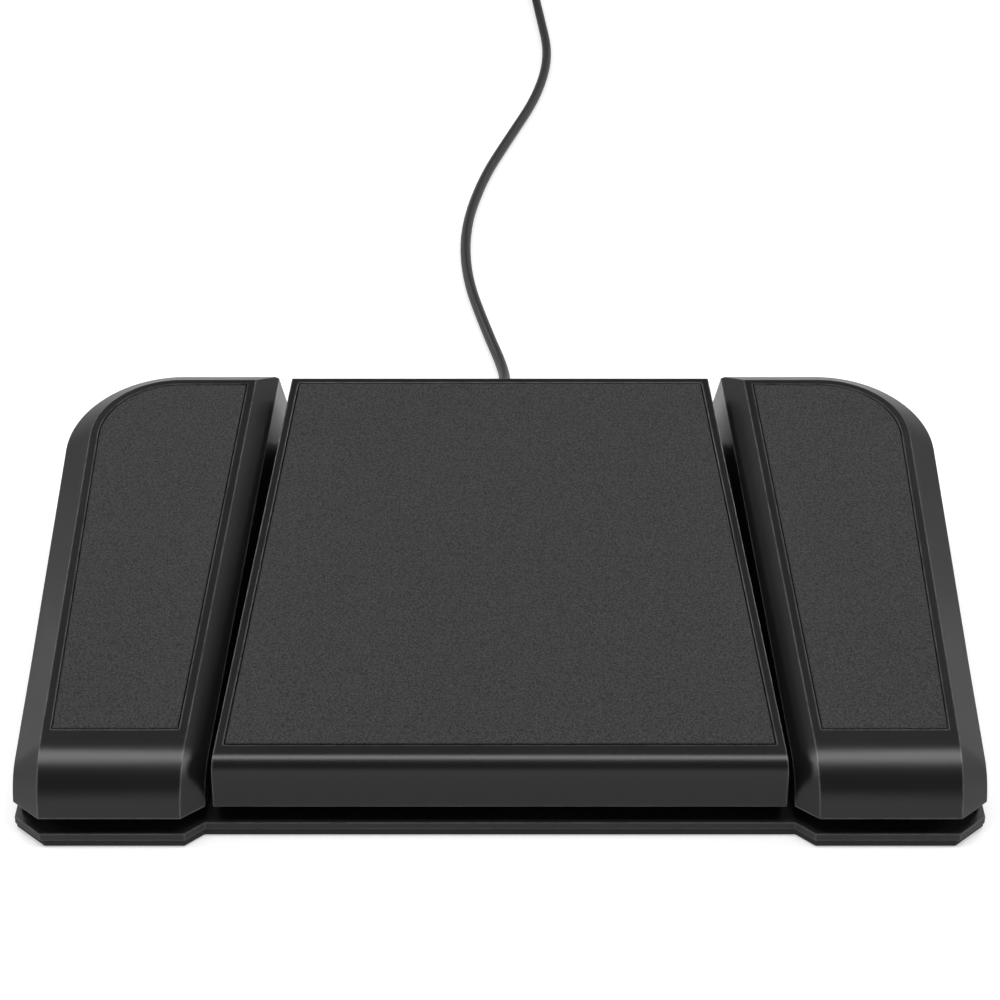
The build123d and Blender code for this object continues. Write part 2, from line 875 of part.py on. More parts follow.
# Leads and the cord
def round_tube(points, radii, radius):
    """Tube along straight runs joined by arcs."""
    path = FilletPolyline(*points, radius=radii)
    start = path @ 0
    section = Plane(origin=start, z_dir=path % 0) * Circle(radius)
    return sweep(section, path=path), path.length


def tube_radii(points):
    """Arc at each corner as large as its two runs allow."""
    corners = [Vector(*point) for point in points]
    radii = []
    for before, here, after in zip(corners, corners[1:], corners[2:]):
        turn = math.radians((here - before).get_angle(after - here))
        shorter = min((here - before).length, (after - here).length)
        radii.append(arc_share * shorter / math.tan(turn / 2))
    return radii


lead_height = plate_top + lead_radius + running_gap
socket_height = board_high + lead_socket_height / 2
switch_lead_height = switch_top - switch_height * lead_exit_share


def side_lead(side):
    """Lead from a side switch, down its stand and across the plate to its socket."""
    x = side * side_switch
    rear = along(switch_depth) + switch_width / 2
    clear = rear + holder_wall + lead_bend
    crossing = clear + 2 * lead_bend
    socket_x = side * side_lead_offset
    points = [
        (x, rear, switch_lead_height),
        (x, clear, switch_lead_height),
        (x, clear, lead_height),
        (x, crossing, lead_height),
        (socket_x, crossing, lead_height),
        (socket_x, board_rear + 2 * lead_bend, lead_height),
        (socket_x, board_rear + 2 * lead_bend, socket_height),
        (socket_x, board_rear, socket_height),
    ]
    return round_tube(points, lead_bend * lead_bend_share, lead_radius)[0]


def centre_lead():
    """Short lead from the centre switch's front down to the board behind its socket."""
    x = -centre_lead_offset
    front = along(switch_depth) - switch_width / 2
    points = [
        (-centre_lead_start, front, switch_lead_height),
        (-centre_lead_start, front - holder_wall - lead_bend, switch_lead_height),
        (x, front - holder_wall - lead_bend, socket_height),
        (x, board_rear, socket_height),
    ]
    return round_tube(points, lead_bend * lead_bend_share, lead_radius)[0]


boot_front = overall_depth - boot_setback
boot_rear = boot_front + boot_length
boot_taper_start = boot_rear - boot_taper_length
inner_cord_points = [
    (cord_socket_offset, board_rear, socket_height),
    (cord_socket_offset, along(holder_rear + inner_cord_clearance), socket_height),
    (cord_exit_offset, along(boot_front - inner_cord_straight), cord_exit_height),
    (cord_exit_offset, along(boot_front), cord_exit_height),
]
inner_cord, inner_cord_length = round_tube(inner_cord_points, tube_radii(inner_cord_points), cord_radius)


def strain_relief():
    """Rubber boot: a flange, a plain root in the clamp and a taper to the rear."""

    def rod(front, rear, radius, tip):
        length = rear - front
        cone = Cone(radius, tip, length) if radius != tip else Cylinder(radius, length)
        return Pos(cord_exit_offset, along((front + rear) / 2), cord_exit_height) * Rot(-90, 0, 0) * cone

    boot = rod(boot_front, boot_front + boot_flange_length, boot_flange_radius, boot_flange_radius)
    boot = boot + rod(boot_front + boot_flange_length, boot_taper_start, boot_root_radius, boot_root_radius)
    return boot + rod(boot_taper_start, boot_rear, boot_root_radius, boot_tip_radius)


clamp_front = boot_front + boot_flange_length + clamp_flange_gap


def cord_clamp():
    """Saddle over the boot's root, with an ear and a screw at each side."""
    front = along(clamp_front)
    rear = front + clamp_length
    ears = box_between(
        (cord_exit_offset - clamp_width / 2, front, plate_top),
        (cord_exit_offset + clamp_width / 2, rear, plate_top + clamp_ear_height),
    )
    hump = box_between(
        (cord_exit_offset - clamp_hump_width / 2, front, plate_top),
        (cord_exit_offset + clamp_hump_width / 2, rear, plate_top + clamp_height),
    )
    bore = boot_root_radius + fit_gap
    channel = box_between(
        (cord_exit_offset - bore, front - overrun, plate_top - overrun),
        (cord_exit_offset + bore, rear + overrun, cord_exit_height),
    )
    bore_axis = Pos(cord_exit_offset, front, cord_exit_height) * Rot(90, 0, 0)
    tunnel = bore_axis * Cylinder(bore, 2 * clamp_length + overrun)
    clamp = ears + hump - channel - tunnel
    for x in clamp_screw_places():
        clamp = clamp - post(x, front + clamp_length / 2, 0, ceiling, screw_radius + fit_gap)
    return clamp


def clamp_screw_places():
    """X of the two screws in the cord clamp's ears."""
    return [cord_exit_offset - clamp_screw_offset, cord_exit_offset + clamp_screw_offset]


# Route of the free cord: X, distance behind the rear, height
cord_route = [
    (1.2, 14.0, 7.8),
    (1.2, 27.0, 7.8),
    (1.7, 49.0, 1.8),
    (-4.6, 79.0, 1.8),
    (-11.4, 117.0, 1.8),
    (-12.2, 156.0, 1.8),
    (-6.0, 197.0, 1.8),
    (3.0, 231.0, 1.8),
    (14.5, 273.0, 1.8),
    (19.5, 314.0, 1.8),
    (16.5, 354.0, 1.8),
    (14.0, 385.0, 2.45),
    (14.0, 411.5, 2.45),
]
cord_points = [(x, along(overall_depth + distance), z) for x, distance, z in cord_route]
cord_radii = tube_radii(cord_points)
usb_cord, usb_cord_length = round_tube(cord_points, cord_radii, cord_radius)
print("cord radii", [round(radius, 1) for radius in cord_radii])

# Coil: half turns whose ends step in and out, climbing where the spiral reverses
coil_step_shares = [
    [0, 0.5, 1, 1.5, 2, 2.5],
    [2.75, 2, 1.5, 1, 0.5, 0],
    [-0.25, 0.5, 1, 1.5, 2, 2.5],
    [2.75, 2, 1.5, 1, 0.5],
]
coil_y = along(overall_depth + coil_centre_distance)
coil_low = coil_lift + cord_radius


def coil_crossings():
    """Places where the cord crosses the coil's middle line, first on the right and then on the left."""
    side = 1
    places = []
    for layer, steps in enumerate(coil_step_shares):
        for step in steps:
            radius = coil_start_radius - step * coil_pitch
            height = coil_low + layer * coil_pitch
            places.append(Vector(coil_centre_offset + side * radius, coil_y, height))
            side = -side
    return places


def coil_path():
    """Line of the coil: a straight end, half circles, and a straight end."""
    places = coil_crossings()
    heading = Vector(0, 1, 0)
    lead_in = places[0] - heading * (2 * cord_radius)
    lines = [Line(lead_in, places[0])]
    for start, end in zip(places, places[1:]):
        middle = (start + end) / 2 + heading * ((end - start).length / 2)
        lines.append(ThreePointArc(start, middle, end))
        heading = heading * -1
    lead_out = places[-1] + heading * (2 * cord_radius)
    lines.append(Line(places[-1], lead_out))
    return Wire([line.edge() for line in lines]), lead_in, lead_out


coil_line, coil_start, coil_end = coil_path()
coil_section = Plane(origin=coil_start, z_dir=(0, 1, 0)) * Circle(cord_radius)
cord_coil = sweep(coil_section, path=coil_line)


def least_gap(line, radius, spacing, reach):
    """Least gap of a tube to itself, on points a spacing apart and more than a reach apart along it."""
    count = int(line.length / spacing)
    points = [line.position_at(i / count) for i in range(count + 1)]
    skip = int(reach / spacing)
    least = min(
        (points[i] - points[j]).length
        for i in range(len(points))
        for j in range(i + skip, len(points))
    )
    return least - 2 * radius


coil_gap = least_gap(coil_line, cord_radius, coil_check_spacing, coil_start_radius)
print("coil least gap", round(coil_gap, 3))

tail_points = [
    (coil_end.X, coil_end.Y, coil_end.Z),
    (coil_end.X, coil_end.Y + tail_run, coil_end.Z),
    (coil_end.X, coil_end.Y + tail_run + tail_slope_run, plug_body_height / 2),
    (coil_end.X, coil_end.Y + 2 * tail_run + tail_slope_run, plug_body_height / 2),
]
cord_tail, cord_tail_length = round_tube(tail_points, tube_radii(tail_points), cord_radius)
print("tail radii", [round(radius, 1) for radius in tube_radii(tail_points)])
print("cord lengths", usb_cord_length, coil_line.length, cord_tail_length)
cord_section = math.pi * cord_radius**2
tubes = [(usb_cord, usb_cord_length), (cord_coil, coil_line.length), (cord_tail, cord_tail_length)]
for tube, length in tubes:
    print("tube volume over section times length", tube.volume / (cord_section * length))


def cord_tie():
    """Band round the coil's left side."""
    low_radius = coil_start_radius - max(coil_step_shares[0]) * coil_pitch - cord_radius - tie_sag_gap
    high_radius = coil_start_radius + cord_radius + seat_gap
    low_z = coil_lift - tie_gap
    high_z = coil_low + (len(coil_step_shares) - 1) * coil_pitch + cord_radius + tie_gap
    inner = box_between(
        (coil_centre_offset - high_radius, coil_y - tie_width, low_z),
        (coil_centre_offset - low_radius, coil_y + tie_width, high_z),
    )
    outer = box_between(
        (coil_centre_offset - high_radius - tie_thickness, coil_y - tie_width / 2, low_z - tie_thickness),
        (coil_centre_offset - low_radius + tie_thickness, coil_y + tie_width / 2, high_z + tie_thickness),
    )
    return outer - inner


# Plug at the cord's end
plug_x = tail_points[-1][0]
plug_start = tail_points[-1][1]
plug_z = plug_body_height / 2
plug_face = plug_start + plug_body_length


def plug_box(front, rear, width, height):
    """Box on the plug's axis."""
    return box_between(
        (plug_x - width / 2, front, plug_z - height / 2),
        (plug_x + width / 2, rear, plug_z + height / 2),
    )


plug_body = plug_box(plug_start, plug_face, plug_body_width, plug_body_height)
plug_body = fillet(plug_body.edges().filter_by(Axis.Y), radius=plug_corner_radius)
shell_start = plug_face - plug_shell_overlap
plug_body = plug_body - plug_box(
    shell_start - fit_gap,
    plug_face + overrun,
    plug_shell_width + 2 * fit_gap,
    plug_shell_height + 2 * fit_gap,
)
plug_shell = plug_box(shell_start, shell_start + plug_shell_length, plug_shell_width, plug_shell_height)
inner_width = plug_shell_width - 2 * plug_shell_wall
inner_height = plug_shell_height - 2 * plug_shell_wall
plug_shell = plug_shell - plug_box(
    shell_start - overrun, shell_start + plug_shell_length + overrun, inner_width, inner_height
)
tongue_high = plug_z + inner_height / 2 - plug_tongue_gap
plug_tongue = box_between(
    (plug_x - inner_width / 2 + plug_tongue_gap, shell_start, tongue_high - plug_tongue_thickness),
    (
        plug_x + inner_width / 2 - plug_tongue_gap,
        shell_start + plug_shell_length - plug_tongue_setback,
        tongue_high,
    ),
)

# Groups of like pieces
left_hinges = [-x for x in side_hinges]
right_hinges = side_hinges
all_hinges = left_hinges + centre_hinges + right_hinges
switch_places = [-side_switch, 0, side_switch]
all_springs = [-side_spring] + centre_springs + [side_spring]
side_rest_pads = [share * half_width for share in side_rest_pad_shares]
rest_pad_places = [-x for x in side_rest_pads] + pair_at(centre_rest_pad_share) + side_rest_pads

# Plate with every screw hole
bracket_screws = [
    screw(x, y, plate_top + bracket_sheet, plate_bottom) for x in all_hinges for y in bracket_screw_rows()
]
holder_screws = [
    screw(screw_x, along(switch_depth), plate_top + holder_foot_thickness, plate_bottom)
    for x in switch_places
    for screw_x in holder_screw_places(x)
]
clamp_screw_y = along(clamp_front) + clamp_length / 2
clamp_screws = [
    screw(x, clamp_screw_y, plate_top + clamp_ear_height, plate_bottom) for x in clamp_screw_places()
]
screw_spots = [(x, y) for x in all_hinges for y in bracket_screw_rows()]
screw_spots += [(screw_x, along(switch_depth)) for x in switch_places for screw_x in holder_screw_places(x)]
screw_spots += [(x, clamp_screw_y) for x in clamp_screw_places()]
screw_spots += board_corners
for spot_x, spot_y in screw_spots:
    base_plate = base_plate - post(spot_x, spot_y, 0, plate_top + overrun, screw_radius + fit_gap)

# Export, one file for each node
save("base_mat", base_mat)
save("base_plate", base_plate)
save("right_side_skirt", right_skirt)
save("left_side_skirt", mirrored(right_skirt))
save("left_hinge_brackets", *pieces_at(hinge_bracket, left_hinges))
save("centre_hinge_brackets", *pieces_at(hinge_bracket, centre_hinges))
save("right_hinge_brackets", *pieces_at(hinge_bracket, right_hinges))
save("hinge_pins", *pieces_at(hinge_pin, all_hinges))
save("hinge_clips", *pieces_at(hinge_clip, all_hinges))
save("bracket_screws", *bracket_screws)
save("spring_cups", *pieces_at(spring_cup, all_springs))
save("left_return_spring", return_spring(-side_spring))
save("centre_return_springs", *pieces_at(return_spring, centre_springs))
save("right_return_spring", return_spring(side_spring))
for side_name, place in zip(("left", "centre", "right"), switch_places):
    save(f"{side_name}_switch_holder", switch_holder(place))
    save(f"{side_name}_switch_body", switch_body(place))
    save(f"{side_name}_switch_plunger", switch_plunger(place))
save("holder_screws", *holder_screws)
save("rest_pads", *pieces_at(rest_pad, rest_pad_places))
save("controller_board", controller_board)
save("controller_chip", controller_chip)
save("board_standoffs", *standoffs)
save("board_screws", *board_screws)
save("lead_sockets", *lead_sockets)
save("cord_socket", cord_socket)
save("left_switch_lead", side_lead(-1))
save("centre_switch_lead", centre_lead())
save("right_switch_lead", side_lead(1))
save("inner_cord", inner_cord)
save("cord_clamp", cord_clamp())
save("clamp_screws", *clamp_screws)
save("strain_relief", strain_relief())
save("usb_cord", usb_cord)
save("usb_cord_coil", cord_coil)
save("usb_cord_tail", cord_tail)
save("cord_tie", cord_tie())
save("usb_plug_body", plug_body)
save("usb_plug_shell", plug_shell)
save("usb_plug_tongue", plug_tongue)
save("right_pedal_shell", right_shell)
save("left_pedal_shell", mirrored(right_shell))
save("centre_pedal_shell", centre_shell)
save("right_grip_pad", right_pad)
save("left_grip_pad", mirrored(right_pad))
save("centre_grip_pad", middle_pad)
save("left_hinge_bushes", *pieces_at(hinge_bush, left_hinges))
save("centre_hinge_bushes", *pieces_at(hinge_bush, centre_hinges))
save("right_hinge_bushes", *pieces_at(hinge_bush, right_hinges))
save("left_stop_bumpers", *[stop_bumper(-x) for x in side_bumpers])
save("centre_stop_bumpers", *pieces_at(stop_bumper, centre_bumpers))
save("right_stop_bumpers", *pieces_at(stop_bumper, side_bumpers))
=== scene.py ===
import json
import math

import bmesh
import bpy
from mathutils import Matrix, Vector

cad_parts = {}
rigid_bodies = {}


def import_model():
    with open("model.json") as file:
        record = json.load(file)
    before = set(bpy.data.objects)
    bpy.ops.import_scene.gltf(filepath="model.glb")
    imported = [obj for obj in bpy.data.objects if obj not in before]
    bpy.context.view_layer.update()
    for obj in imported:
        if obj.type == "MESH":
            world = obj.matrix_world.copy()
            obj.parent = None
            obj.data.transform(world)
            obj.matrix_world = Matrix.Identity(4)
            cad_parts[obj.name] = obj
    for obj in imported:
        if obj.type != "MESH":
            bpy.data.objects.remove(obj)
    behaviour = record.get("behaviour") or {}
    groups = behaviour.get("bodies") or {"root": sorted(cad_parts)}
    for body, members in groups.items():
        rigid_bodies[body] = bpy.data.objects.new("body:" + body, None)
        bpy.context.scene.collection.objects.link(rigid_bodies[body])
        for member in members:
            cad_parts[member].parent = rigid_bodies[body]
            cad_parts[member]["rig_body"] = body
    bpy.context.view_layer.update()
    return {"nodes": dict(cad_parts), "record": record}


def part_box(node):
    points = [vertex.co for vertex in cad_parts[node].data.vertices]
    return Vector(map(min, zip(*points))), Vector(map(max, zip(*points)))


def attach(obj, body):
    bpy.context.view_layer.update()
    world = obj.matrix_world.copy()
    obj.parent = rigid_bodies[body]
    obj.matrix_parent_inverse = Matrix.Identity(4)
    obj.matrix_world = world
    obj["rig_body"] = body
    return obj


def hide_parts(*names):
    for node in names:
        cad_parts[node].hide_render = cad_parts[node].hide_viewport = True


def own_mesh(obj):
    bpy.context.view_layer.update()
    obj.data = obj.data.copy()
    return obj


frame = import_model()
cad = frame["nodes"]
MM = 0.001
MICRON = 1e-6
SIDES = {"left": -1.0, "right": 1.0}


def linked(obj):
    """Puts a new object into the scene."""
    bpy.context.scene.collection.objects.link(obj)
    return obj


# Small helpers for the node trees

COLOUR = "NodeSocketColor"
VALUE = "NodeSocketFloat"
GREY = (0.5, 0.5, 0.5, 1.0)
WHITE = (1.0, 1.0, 1.0, 1.0)
MIX_SOCKETS = {"RGBA": (6, 7, 2), "FLOAT": (2, 3, 0)}


def feed(tree, value, socket):
    """Links a socket into an input, or sets the input to a plain value."""
    if isinstance(value, bpy.types.NodeSocket):
        tree.links.new(value, socket)
    else:
        socket.default_value = value


def add(tree, kind, inputs=None, **settings):
    """A new node with its settings, and its inputs fed by name or number."""
    made = tree.nodes.new(kind)
    for key, value in settings.items():
        setattr(made, key, value)
    for key, value in (inputs or {}).items():
        feed(tree, value, made.inputs[key])
    return made


def maths(tree, operation, *values, clamp=False):
    """One sum, product or comparison of two or three numbers."""
    inputs = dict(enumerate(values))
    return add(tree, "ShaderNodeMath", inputs, operation=operation, use_clamp=clamp).outputs[0]


def blend(tree, kind, factor, first, second):
    """A mix of two inputs of one kind, by the Mix node's sockets for that kind."""
    first_socket, second_socket, result = MIX_SOCKETS[kind]
    inputs = {0: factor, first_socket: first, second_socket: second}
    return add(tree, "ShaderNodeMix", inputs, data_type=kind).outputs[result]


def blend_colours(tree, factor, first, second):
    """A colour between two others."""
    return blend(tree, "RGBA", factor, first, second)


def blend_values(tree, factor, first, second):
    """A number between two others."""
    return blend(tree, "FLOAT", factor, first, second)


def spread(tree, value, low, high):
    """Stretches the range from low to high over 0 to 1, with soft ends."""
    inputs = {"Value": value, "From Min": low, "From Max": high}
    return add(tree, "ShaderNodeMapRange", inputs, interpolation_type="SMOOTHSTEP").outputs["Result"]


def cloud(tree, place, scale, detail=2.0, roughness=0.5):
    """Soft random patches over a place."""
    inputs = {"Vector": place, "Scale": scale, "Detail": detail, "Roughness": roughness}
    return add(tree, "ShaderNodeTexNoise", inputs).outputs["Fac"]


def object_place(tree):
    """The place on the object in metres."""
    return add(tree, "ShaderNodeTexCoord").outputs["Object"]


def new_group(name, inputs, outputs):
    """An empty shader node group with its named inputs and outputs."""
    group = bpy.data.node_groups.new(name, "ShaderNodeTree")
    for label, value in inputs.items():
        kind = COLOUR if isinstance(value, tuple) else VALUE
        socket = group.interface.new_socket(label, in_out="INPUT", socket_type=kind)
        socket.default_value = value
    for label, kind in outputs.items():
        group.interface.new_socket(label, in_out="OUTPUT", socket_type=kind)
    start = group.nodes.new("NodeGroupInput").outputs
    end = group.nodes.new("NodeGroupOutput").inputs
    return group, start, end


# Effects that several finishes share

def swing_tone(group, start, end, tone_swing, rough_swing):
    """Puts out a colour and a roughness that swing about the given ones."""
    light = maths(group, "MULTIPLY_ADD", tone_swing, start["Tone Change"], 1.0)
    tone = add(group, "ShaderNodeVectorMath", {0: start["Colour"], "Scale": light}, operation="SCALE")
    rough = maths(group, "MULTIPLY_ADD", rough_swing, start["Roughness Change"], start["Roughness"])
    feed(group, tone.outputs[0], end["Colour"])
    feed(group, rough, end["Roughness"])


def make_moulded_grain():
    """Fine grain and soft patches of a moulded or sprayed skin."""
    group, start, end = new_group(
        "moulded_grain",
        {
            "Colour": GREY,
            "Tone Change": 0.1,
            "Roughness": 0.5,
            "Roughness Change": 0.05,
            "Grain Scale": 3000.0,
            "Patch Scale": 30.0,
        },
        {"Colour": COLOUR, "Roughness": VALUE, "Height": VALUE},
    )
    grain_share = 0.6
    place = object_place(group)
    grain = cloud(group, place, start["Grain Scale"])
    patch = cloud(group, place, start["Patch Scale"], detail=4.0, roughness=0.6)
    patch_swing = maths(group, "SUBTRACT", patch, 0.5)
    grain_swing = maths(group, "MULTIPLY", maths(group, "SUBTRACT", grain, 0.5), grain_share)
    swing_tone(group, start, end, patch_swing, maths(group, "ADD", patch_swing, grain_swing))
    feed(group, grain, end["Height"])
    return group


def make_edge_wear_and_highlight():
    """Rubbed edges, and on some finishes painted highlight lines: the edge colour where the surface
    turns within the reach, broken up by a cloud.
    """
    group, start, end = new_group(
        "edge_wear_and_highlight",
        {
            "Colour": GREY,
            "Worn Colour": GREY,
            "Roughness": 0.5,
            "Worn Roughness": 0.4,
            "Reach": 0.0006,
            "Amount": 0.5,
        },
        {"Colour": COLOUR, "Roughness": VALUE},
    )
    rounded = add(group, "ShaderNodeBevel", {"Radius": start["Reach"]}, samples=6).outputs["Normal"]
    plain = add(group, "ShaderNodeNewGeometry").outputs["Normal"]
    turn = add(group, "ShaderNodeVectorMath", {0: rounded, 1: plain}, operation="DOT_PRODUCT")
    edge = spread(group, maths(group, "SUBTRACT", 1.0, turn.outputs["Value"]), low=0.002, high=0.03)
    patches = cloud(group, object_place(group), scale=260.0, detail=5.0, roughness=0.65)
    worn_and_highlit = maths(group, "MULTIPLY", edge, spread(group, patches, low=0.2, high=0.6))
    mask = maths(group, "MULTIPLY", worn_and_highlit, start["Amount"], clamp=True)
    # On the shells and the plate this edge colour is a painted highlight line; on other finishes it is
    # wear.
    colour = blend_colours(group, mask, start["Colour"], start["Worn Colour"])
    feed(group, colour, end["Colour"])
    feed(group, blend_values(group, mask, start["Roughness"], start["Worn Roughness"]), end["Roughness"])
    return group


def make_dust_film():
    """A thin film of settled dust on the faces that look up."""
    group, start, end = new_group(
        "dust_film",
        {"Colour": GREY, "Dust Colour": (0.3, 0.29, 0.27, 1.0), "Roughness": 0.5, "Amount": 0.03},
        {"Colour": COLOUR, "Roughness": VALUE},
    )
    film_share = 0.4
    roughening = 0.5
    normal = add(group, "ShaderNodeNewGeometry").outputs["Normal"]
    height = add(group, "ShaderNodeSeparateXYZ", {"Vector": normal}).outputs["Z"]
    up = spread(group, height, low=0.3, high=1.0)
    fine = cloud(group, object_place(group), scale=900.0, detail=4.0, roughness=0.7)
    wide = cloud(group, object_place(group), scale=22.0, detail=5.0, roughness=0.6)
    specks = spread(group, fine, low=0.5, high=0.78)
    film = maths(group, "MULTIPLY", spread(group, wide, low=0.3, high=0.75), film_share)
    lying = maths(group, "MULTIPLY", up, maths(group, "ADD", specks, film))
    mask = maths(group, "MULTIPLY", lying, start["Amount"], clamp=True)
    rough = maths(group, "ADD", start["Roughness"], maths(group, "MULTIPLY", mask, roughening))
    feed(group, blend_colours(group, mask, start["Colour"], start["Dust Colour"]), end["Colour"])
    feed(group, rough, end["Roughness"])
    return group


def make_brushed_streaks():
    """Drawn or brushed metal: streaks along one way, with faint stains."""
    group, start, end = new_group(
        "brushed_streaks",
        {
            "Colour": GREY,
            "Tone Change": 0.15,
            "Roughness": 0.3,
            "Roughness Change": 0.12,
            "Streak Scale": 2500.0,
        },
        {"Colour": COLOUR, "Roughness": VALUE, "Height": VALUE},
    )
    stretch = (0.03, 1.0, 1.0)
    stretched = add(group, "ShaderNodeMapping", {"Vector": object_place(group), "Scale": stretch})
    streak = cloud(group, stretched.outputs["Vector"], start["Streak Scale"], detail=3.0)
    stain = cloud(group, object_place(group), scale=120.0, detail=4.0, roughness=0.6)
    swing = maths(group, "SUBTRACT", maths(group, "ADD", streak, stain), 1.0)
    swing_tone(group, start, end, swing, swing)
    feed(group, streak, end["Height"])
    return group


def make_pebbled_grip():
    """The pads' surface: fine pebbles with darker hollows and a few light specks."""
    group, start, end = new_group(
        "pebbled_grip",
        {
            "Hollow Colour": GREY,
            "Pebble Colour": GREY,
            "Speck Colour": GREY,
            "Pebble Scale": 2300.0,
        },
        {"Colour": COLOUR, "Roughness": VALUE, "Height": VALUE},
    )
    hollow_roughness = 0.85
    pebble_roughness = 0.6
    place = object_place(group)
    cells = add(group, "ShaderNodeTexVoronoi", {"Vector": place, "Scale": start["Pebble Scale"]})
    domed = maths(group, "SUBTRACT", 1.0, cells.outputs["Distance"])
    uneven = cloud(group, place, scale=1500.0, detail=3.0, roughness=0.6)
    shining = cloud(group, place, scale=3000.0, detail=2.0, roughness=0.6)
    pebble = spread(group, domed, low=0.25, high=0.8)
    speck = spread(group, shining, low=0.54, high=0.74)
    raised = maths(group, "MULTIPLY", pebble, maths(group, "ADD", uneven, 0.5))
    base = blend_colours(group, raised, start["Hollow Colour"], start["Pebble Colour"])
    feed(group, blend_colours(group, speck, base, start["Speck Colour"]), end["Colour"])
    feed(group, blend_values(group, raised, hollow_roughness, pebble_roughness), end["Roughness"])
    feed(group, raised, end["Height"])
    return group


MOULDED_GRAIN = make_moulded_grain()
EDGE_HIGHLIGHT_AND_WEAR = make_edge_wear_and_highlight()
DUST_FILM = make_dust_film()
BRUSHED_STREAKS = make_brushed_streaks()
PEBBLED_GRIP = make_pebbled_grip()


def effect(tree, group, **inputs):
    """Places one of the shared effects in a material, with its own values."""
    made = add(tree, "ShaderNodeGroup", node_tree=group)
    for key, value in inputs.items():
        feed(tree, value, made.inputs[key.replace("_", " ").title()])
    return made.outputs


def empty_material(name):
    """A material with its main shader and nothing else."""
    made = bpy.data.materials.new(name)
    made.use_nodes = True
    return made, made.node_tree, made.node_tree.nodes["Principled BSDF"]


def grey(level):
    """An almost neutral colour, a touch cooler than grey."""
    return (level, level, level * 1.04, 1.0)


def relief(tree, height, depth):
    """A bump from a height, its depth in metres."""
    return add(tree, "ShaderNodeBump", {"Height": height, "Distance": depth}).outputs["Normal"]


def dress(tree, shader, colour, roughness, normal):
    """Gives a material's shader its colour, roughness and surface."""
    feed(tree, colour, shader.inputs["Base Color"])
    feed(tree, roughness, shader.inputs["Roughness"])
    feed(tree, normal, shader.inputs["Normal"])


SKIN_UNEVENNESS = 0.08
WORN_SHINE = 0.08


def skin(name, colour, roughness, lit_and_worn_colour, grain=3000.0, depth=10 * MICRON, tone=0.15, lit_and_worn_amount=0.5,
         dust=0.03, specular=0.5):
    """A moulded, rubber or painted finish with grain, edges of another colour and a little dust; the
    edge colour is wear, and on the shells and the plate a painted highlight.
    """
    made, tree, shader = empty_material(name)
    grained = effect(
        tree,
        MOULDED_GRAIN,
        Colour=colour,
        Tone_Change=tone,
        Roughness=roughness,
        Roughness_Change=SKIN_UNEVENNESS,
        Grain_Scale=grain,
    )
    # Edges in the given edge colour: painted highlight lines on the shells and the plate, wear on the
    # other skins.
    worn_and_highlit = effect(
        tree,
        EDGE_HIGHLIGHT_AND_WEAR,
        Colour=grained["Colour"],
        Worn_Colour=lit_and_worn_colour,
        Roughness=grained["Roughness"],
        Worn_Roughness=roughness - WORN_SHINE,
        Amount=lit_and_worn_amount,
    )
    dusty = effect(
        tree, DUST_FILM, Colour=worn_and_highlit["Colour"], Roughness=worn_and_highlit["Roughness"], Amount=dust
    )
    dress(tree, shader, dusty["Colour"], dusty["Roughness"], relief(tree, grained["Height"], depth))
    shader.inputs["Specular IOR Level"].default_value = specular
    return made


def metal(name, colour, roughness, streaks=2500.0, depth=4 * MICRON):
    """A bare or plated metal with drawn streaks and brighter rubbed edges."""
    made, tree, shader = empty_material(name)
    drawn = effect(
        tree,
        BRUSHED_STREAKS,
        Colour=colour,
        Tone_Change=0.15,
        Roughness=roughness,
        Streak_Scale=streaks,
    )
    worn_and_highlit = effect(
        tree,
        EDGE_HIGHLIGHT_AND_WEAR,
        Colour=drawn["Colour"],
        Worn_Colour=(0.85, 0.84, 0.82, 1.0),
        Roughness=drawn["Roughness"],
        Worn_Roughness=0.2,
        Reach=0.0003,
        Amount=0.5,
    )
    dress(tree, shader, worn_and_highlit["Colour"], worn_and_highlit["Roughness"], relief(tree, drawn["Height"], depth))
    shader.inputs["Metallic"].default_value = 1.0
    return made


def grip_sheet(name):
    """The pads' fine pebbled sheet."""
    made, tree, shader = empty_material(name)
    pebbled = effect(
        tree,
        PEBBLED_GRIP,
        Hollow_Colour=grey(0.017),
        Pebble_Colour=grey(0.036),
        Speck_Colour=grey(0.062),
    )
    worn_and_highlit = effect(
        tree,
        EDGE_HIGHLIGHT_AND_WEAR,
        Colour=pebbled["Colour"],
        Worn_Colour=grey(0.012),
        Roughness=pebbled["Roughness"],
        Worn_Roughness=0.6,
        Reach=0.0005,
        Amount=0.8,
    )
    dusty = effect(
        tree, DUST_FILM, Colour=worn_and_highlit["Colour"], Roughness=worn_and_highlit["Roughness"], Amount=0.02
    )
    pebbles = relief(tree, pebbled["Height"], depth=60 * MICRON)
    dress(tree, shader, dusty["Colour"], dusty["Roughness"], pebbles)
    shader.inputs["Specular IOR Level"].default_value = 0.35
    return made


def tie_tape(name):
    """Woven tape: threads over and under each other."""
    made, tree, shader = empty_material(name)
    fuzz_share = 0.4
    place = object_place(tree)
    wave = {"Vector": place, "Scale": 320.0, "Distortion": 0.4}
    across = add(tree, "ShaderNodeTexWave", wave, bands_direction="X").outputs["Fac"]
    along = add(tree, "ShaderNodeTexWave", wave, bands_direction="Y").outputs["Fac"]
    fuzz = cloud(tree, place, scale=4000.0, detail=3.0)
    threads = maths(tree, "MULTIPLY", across, along)
    height = maths(tree, "ADD", threads, maths(tree, "MULTIPLY", fuzz, fuzz_share))
    colour = blend_colours(tree, height, grey(0.01), grey(0.045))
    roughness = blend_values(tree, fuzz, 0.7, 0.95)
    dress(tree, shader, colour, roughness, relief(tree, height, depth=200 * MICRON))
    shader.inputs["Sheen Weight"].default_value = 0.3
    return made


